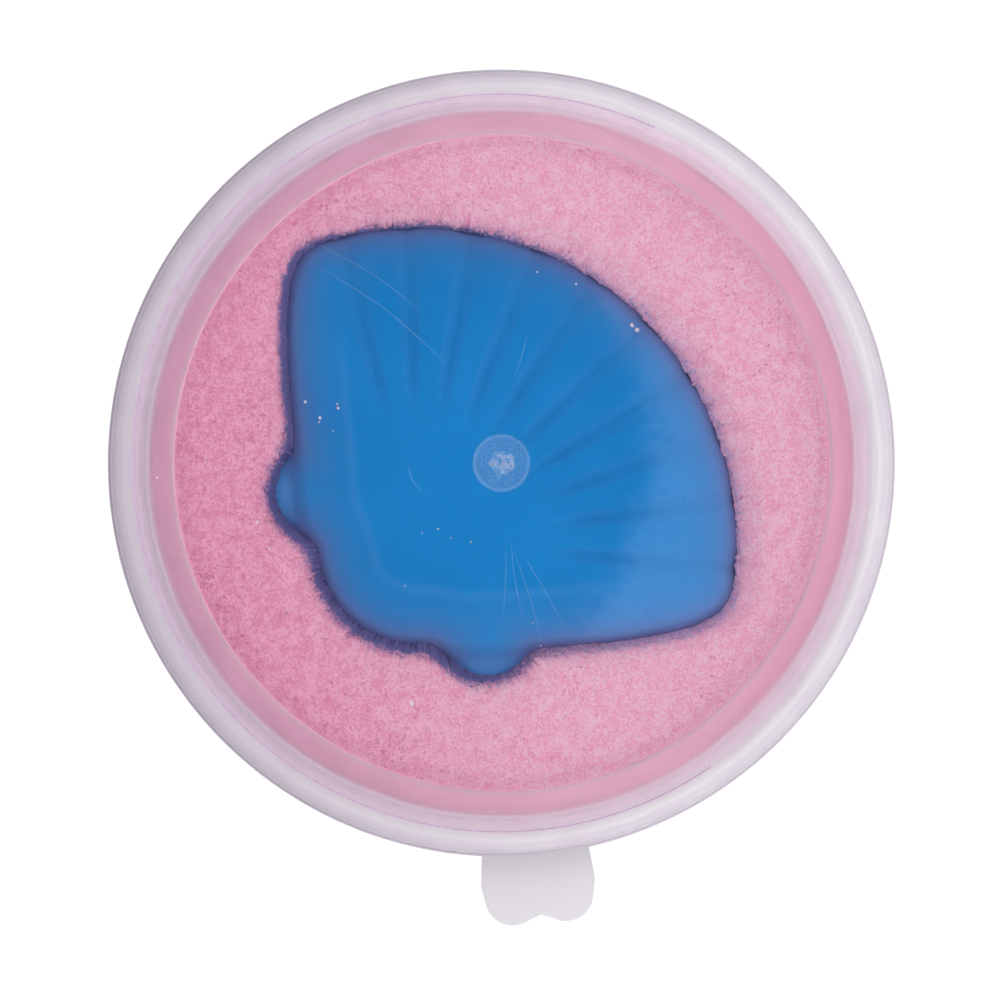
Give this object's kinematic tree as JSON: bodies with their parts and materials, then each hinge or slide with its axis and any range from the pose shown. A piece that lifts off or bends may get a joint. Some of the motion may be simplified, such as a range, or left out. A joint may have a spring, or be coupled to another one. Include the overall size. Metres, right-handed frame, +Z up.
{
  "type": "sand mould in a lidded tub of play sand",
  "caption": "Round snap-lid tub of play sand with a scallop shell sand mould pressed open side down into the sand, and a heart-shaped pull tab on the lid.",
  "frame": {"origin": "centre of the tub's flat foot ring, on the surface it stands on", "axes": "+Z up through the lid, -Y towards the lid's pull tab, +X to the right seen from above with the tab towards the viewer"},
  "size_m": [0.085, 0.0924, 0.0319],
  "materials": {
    "tub_plastic": "satin",
    "lid_plastic": "satin",
    "sand": "matte",
    "mould_plastic": "satin"
  },
  "bodies": {
    "tub": {"tub": "tub_plastic", "sand_bed": "sand", "moulded_sand": "sand"},
    "lid": {"lid": "lid_plastic"},
    "mould": {"mould": "mould_plastic"}
  },
  "joints": [
    {"name": "lid_lift", "type": "slide", "parent": "tub", "child": "lid", "axis": [0, 0, 1], "range_m": [0, 0.06]},
    {"name": "mould_lift", "type": "slide", "parent": "tub", "child": "mould", "axis": [0, 0, 1], "range_m": [0, 0.03]}
  ],
  "couplings": [
    {"joint": "mould_lift", "follows": "lid_lift", "ratio": 0.5}
  ]
}
